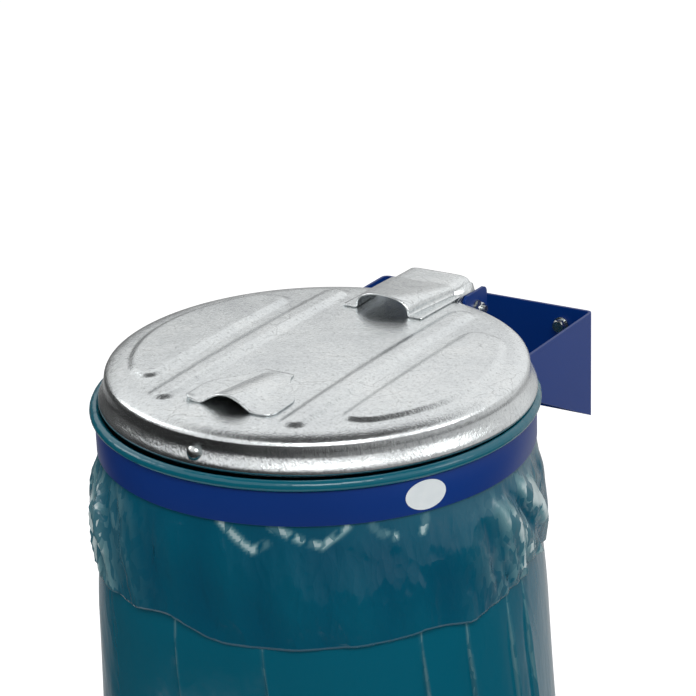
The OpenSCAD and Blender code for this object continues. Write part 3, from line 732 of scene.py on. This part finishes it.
def stroke(around, z, ends, width):
    """1 on a broken line through (degrees, height) ends, falling to 0 at the given width."""
    near = np.full(z.shape, 1e6)
    for (a0, z0), (a1, z1) in zip(ends, ends[1:]):
        p, q = np.array([a0 * np.pi / 180 * BAND_R, z0]), np.array([a1 * np.pi / 180 * BAND_R, z1])
        d = q - p
        t = np.clip(((around - p[0]) * d[0] + (z - p[1]) * d[1]) / (d @ d), 0, 1)
        near = np.minimum(near, np.hypot(around - p[0] - t * d[0], z - p[1] - t * d[1]))
    return np.clip(1 - near / width, 0, 1)


def sack_angles():
    """Angles round the ring in degrees from the front, close together where the camera looks."""
    dense = np.linspace(-75, 140, 272)
    wide = np.linspace(140, 285, 58)[1:-1]
    edges = np.concatenate([[p - 0.25, p, p + 0.25] for p in PLEATS])
    return np.unique(np.concatenate([dense, wide, edges]))


def sack_surface():
    """Points of the film grid, with the tint, the white and the crinkle of each; the tint and the white
    carry painted light.
    """
    path = film_path()
    degrees = sack_angles()
    angle = np.radians(degrees)[None, :]
    r, z, part = path[:, 0:1], path[:, 1:2] + 0 * angle, path[:, 2:3]
    on_cuff, on_rim, in_tube = part < 0.4, np.abs(part - 1) < 0.4, part > 1.9
    depth = np.clip((-BAND_H - z) / (-BAND_H - CUFF_END), 0, 1)
    hem = np.interp((degrees + 180) % 360 - 180, HEM_ANGLE, HEM_DROP)
    hem = np.convolve(np.r_[hem[-4:], hem, hem[:4]], np.ones(9) / 9, "valid")[None, :]
    z = np.where(on_cuff, -BAND_H - 1 + (hem + BAND_H + 1) * depth, z)
    around = degrees[None, :] * np.pi / 180 * BAND_R + 0 * z
    bunch = np.maximum(bump_at(degrees, 96, 15), bump_at(degrees, -43, 17))[None, :]
    coarse = crumple(around, z * 0.6, 3, 4, 62)
    fine = crumple(around, z * 0.3, 8, 4, 15)
    ruck = (2.2 + 2.5 * bunch) * coarse + (0.5 + 5.5 * bunch) * fine
    folds = 2.4 * ease(depth * 2.5) * crumple(around, z * 0.12, 21, 3, 75)
    shape = r + np.where(on_cuff, 2.6 * ease(depth * 4) * ruck + folds, 0.0)
    shape = shape + np.where(on_rim, 0.35 * crumple(around, 0 * z, 5, 6, 9), 0.0)
    a, b = half_axes(path[:, 1])
    a, b = a[:, None], b[:, None]
    fold = 0 * z
    line = 0 * z
    for middle in PLEATS:
        off = (degrees[None, :] - middle) * np.pi / 180 * BAND_R
        fold = fold + 2.6 * np.sign(off) * np.exp(-np.abs(off) / 14)
        line = line + bump_at(off, 0, 0.9)
    settle = ease(-(z + 150) / 60)
    soft = 3.0 * crumple(around, z * 0.25, 12, 6, 90) * settle
    x = np.where(in_tube, (a + fold * settle + soft) * np.sin(angle), shape * np.sin(angle))
    y = np.where(in_tube, (b + (fold * settle + soft) * np.clip(b / a, 0, 1)) * np.cos(angle),
                 shape * np.cos(angle))
    points = np.stack([x, -y, z], axis=-1).reshape(-1, 3) + RING
    # Tint: follows the fold heights on the cuff and in the tube, which paints their shade, and is full on
    # the rim, which paints the light shining through it.
    tone = np.where(on_cuff, 0.22 + 0.3 * coarse, np.where(on_rim, 1.0, 0.5 + 0.1 * soft / 3))
    # Painted sheen: the wrinkled bunches at the sides are painted grey where they reflect the bright room;
    # the pleat lines in the tube are painted paler.
    pale = np.where(on_cuff, np.clip(1.3 * bunch * (0.35 + 1.3 * fine), 0, 0.8) * ease(depth * 3 + 0.3), 0.0)
    pale = np.maximum(pale, np.where(in_tube, 0.5 * line, 0.0))
    # Painted glints: short white strokes below the band, broken into patches.
    sparkle = ease(0.6 + 2.2 * crumple(around, z * 1.4, 34, 3, 9))
    for ends in GLINTS:
        mark = ease(1.6 * stroke(around, z, ends, 6.0) * sparkle)
        pale = np.where(on_cuff, np.maximum(pale, 0.72 * mark), pale)
    crinkle = np.where(on_cuff, (0.36 + 0.4 * bunch) * ease(depth * 3 + 0.25), np.where(on_rim, 0.12, 0.07))
    return points, path.shape[0], degrees.size, (tone.ravel(), pale.ravel(), crinkle.ravel())


def set_attribute(thing, name, values):
    """Stores one number per point, for the material to read."""
    layer = thing.data.attributes.new(name, "FLOAT", "POINT")
    layer.data.foreach_set("value", np.clip(values, 0, 1).astype(np.float32))


points, rows, columns, layers = sack_surface()
sack = add_piece("film_sack", points, [grid_quads(rows, columns, closed=True)], film, "holder",
                 ["sack"])
for name, values in zip(("tone", "pale", "crinkle"), layers):
    set_attribute(sack, name, values)
wall = sack.modifiers.new("film_thickness", "SOLIDIFY")
wall.thickness = 0.0003
wall.offset = 0.0

# %% [markdown]
# ## Camera
# The view was worked out from the photograph: the ring is a circle, so its ellipse gives the
# camera's height and turn, and the straight ribs give its heading. The camera's place follows
# from those angles, the distance, and where the ring's middle falls in the picture.

# %% Camera
AZIMUTH, ELEVATION, ROLL = (math.radians(v) for v in (32.42, 21.16, -1.99))
DISTANCE, FOCAL_PX, MIDDLE_PX, MIDDLE_PY, FRAME_PX = 2500.0, 2566.79, 315.69, 401.02, 696.0
back = np.array([math.sin(AZIMUTH) * math.cos(ELEVATION),
                 -math.cos(AZIMUTH) * math.cos(ELEVATION), math.sin(ELEVATION)])
level = np.array([math.cos(AZIMUTH), math.sin(AZIMUTH), 0.0])
rise = np.cross(back, level)
right = level * math.cos(ROLL) + rise * math.sin(ROLL)
up = rise * math.cos(ROLL) - level * math.sin(ROLL)
side = (MIDDLE_PX - FRAME_PX / 2) * DISTANCE / FOCAL_PX
lift = -(MIDDLE_PY - FRAME_PX / 2) * DISTANCE / FOCAL_PX
eye = RING + DISTANCE * back - side * right - lift * up
camera = bpy.data.objects.new("camera", bpy.data.cameras.new("camera"))
bpy.context.scene.collection.objects.link(camera)
camera.data.sensor_width = 36.0
camera.data.lens = FOCAL_PX / FRAME_PX * 36.0
camera.data.clip_end = 100.0
matrix = np.eye(4)
matrix[:3, 0], matrix[:3, 1], matrix[:3, 2], matrix[:3, 3] = right, up, back, eye * MM
camera.matrix_world = matrix.T.tolist()
bpy.context.scene.camera = camera
print("camera at", (eye * MM).round(3), "lens", round(camera.data.lens, 1))

# %% [markdown]
# ## Studio
# Metal shows its surroundings, so the studio is most of the lid's look. The sky is white for what
# the camera and mirrors see and softer for plain light. A dark curtain stands behind the camera,
# as photographers use to draw the edges of bright metal. It can't be seen directly.

# %% World, floor, curtain and lamps
world = bpy.data.worlds.new("white_studio")
bpy.context.scene.world = world
world.use_nodes = True
tree = world.node_tree
sky = tree.nodes["Background"]
rays = node(tree, "ShaderNodeLightPath")
seen = node(tree, "ShaderNodeMath", {"operation": "MAXIMUM"},
            links={0: rays.outputs["Is Camera Ray"], 1: rays.outputs["Is Glossy Ray"]})
seen = node(tree, "ShaderNodeMath", {"operation": "MAXIMUM"},
            links={0: seen.outputs[0], 1: rays.outputs["Is Transmission Ray"]})
level_of = node(tree, "ShaderNodeMapRange", values={"To Min": 0.42, "To Max": 1.0},
                links={"Value": seen.outputs[0]})
tree.links.new(level_of.outputs[0], sky.inputs["Strength"])
sky.inputs["Color"].default_value = (1, 1, 1, 1)


def plain_emission(name, strength):
    """A surface that gives off an even white light."""
    material = bpy.data.materials.new(name)
    material.use_nodes = True
    shader = material.node_tree.nodes["Principled BSDF"]
    shader.inputs["Base Color"].default_value = (0, 0, 0, 1)
    shader.inputs["Roughness"].default_value = 1.0
    shader.inputs["Specular IOR Level"].default_value = 0.0
    shader.inputs["Emission Color"].default_value = (1, 1, 1, 1)
    shader.inputs["Emission Strength"].default_value = strength
    return material


def make_floor_paint():
    """Pale matt paint that reads as white to the camera and still takes a shadow."""
    material, tree, shader, place = start_material("matt_white_floor", Roughness=0.9,
                                                   Specular_IOR_Level=0.1)
    shader.inputs["Base Color"].default_value = linear("#f0f0f0")
    shader.inputs["Emission Color"].default_value = (1, 1, 1, 1)
    rays = node(tree, "ShaderNodeLightPath")
    glow = node(tree, "ShaderNodeMath", {"operation": "MULTIPLY"}, {1: 0.68},
                {0: rays.outputs["Is Camera Ray"]})
    tree.links.new(glow.outputs[0], shader.inputs["Emission Strength"])
    return material


FLOOR_Z = cad_box[0][2] / MM - 90.0
half = 30000.0
corners = np.array([[-half, -half, FLOOR_Z], [half, -half, FLOOR_Z], [half, half, FLOOR_Z],
                    [-half, half, FLOOR_Z]])
floor = bpy.data.objects.new("floor", write_mesh("floor", corners, [np.array([[0, 1, 2, 3]])]))
bpy.context.scene.collection.objects.link(floor)
floor.data.materials.append(make_floor_paint())


def curtain(name, radius, azimuths, tones, from_el, to_el):
    """Part of a big sphere round the ring, seen only in reflections, with a tone per azimuth."""
    fine = np.linspace(azimuths[0], azimuths[-1], 60)
    az, el = np.meshgrid(np.radians(fine), np.radians(np.linspace(from_el, to_el, 8)))
    points = radius * np.stack([np.sin(az) * np.cos(el), -np.cos(az) * np.cos(el), np.sin(el)],
                               axis=-1).reshape(-1, 3) + RING
    card = bpy.data.objects.new(name, write_mesh(name, points, [grid_quads(8, 60)]))
    bpy.context.scene.collection.objects.link(card)
    set_attribute(card, "glow", np.tile(np.interp(fine, azimuths, tones), 8))
    cloth = plain_emission(name + "_cloth", 0.0)
    tree = cloth.node_tree
    glow = node(tree, "ShaderNodeAttribute", {"attribute_name": "glow"}).outputs["Fac"]
    tree.links.new(glow, tree.nodes["Principled BSDF"].inputs["Emission Strength"])
    card.data.materials.append(cloth)
    card.visible_camera = False
    card.visible_diffuse = False
    card.visible_shadow = False
    card.visible_transmission = False
    return card


curtain("curtain_upper", 1400.0, [-165, -140, -118, -100, -15, 25, 55, 85, 120, 150],
        [0.6, 0.35, 0.14, 0.03, 0.02, 0.1, 0.25, 0.45, 0.6, 0.8], -15, 17)
curtain("curtain_lower", 1380.0, [-150, -120, -95, 100, 120, 150],
        [0.9, 0.4, 0.03, 0.01, 0.06, 0.3], -42, -15)
curtain("curtain_behind", 1500.0, [150, 175, 245, 270], [0.8, 0.6, 0.4, 0.6], -14, 2)
curtain("ceiling_back", 1900.0, [120, 300], [0.12, 0.12], 56, 90)
curtain("ceiling_front", 1900.0, [-60, 120], [0.06, 0.06], 62, 90)


def add_lamp(name, place, aim, width, height, watts):
    """A rectangular soft box at place, in millimetres round the ring, pointed at aim."""
    data = bpy.data.lights.new(name, "AREA")
    data.shape = "RECTANGLE"
    data.size, data.size_y, data.energy = width, height, watts
    lamp = bpy.data.objects.new(name, data)
    bpy.context.scene.collection.objects.link(lamp)
    start = (RING + place) * MM
    way = (RING + aim) * MM - start
    lamp.location = start
    lamp.rotation_euler = mathutils.Vector(way).to_track_quat("-Z", "Y").to_euler()
    return lamp


import mathutils
add_lamp("softbox_front", np.array([1500.0, -1900.0, 2300.0]), np.array([0, 0, -100.0]), 1.8, 1.0, 40)
add_lamp("softbox_left", np.array([-2600.0, -600.0, 1200.0]), np.array([0, 0, -100.0]), 1.2, 1.8, 16)
add_lamp("softbox_right", np.array([2600.0, 500.0, 1000.0]), np.array([0, 0, -150.0]), 0.9, 1.8, 14)

# %% View transform and a last update
bpy.context.scene.view_settings.view_transform = "Standard"
bpy.context.view_layer.update()
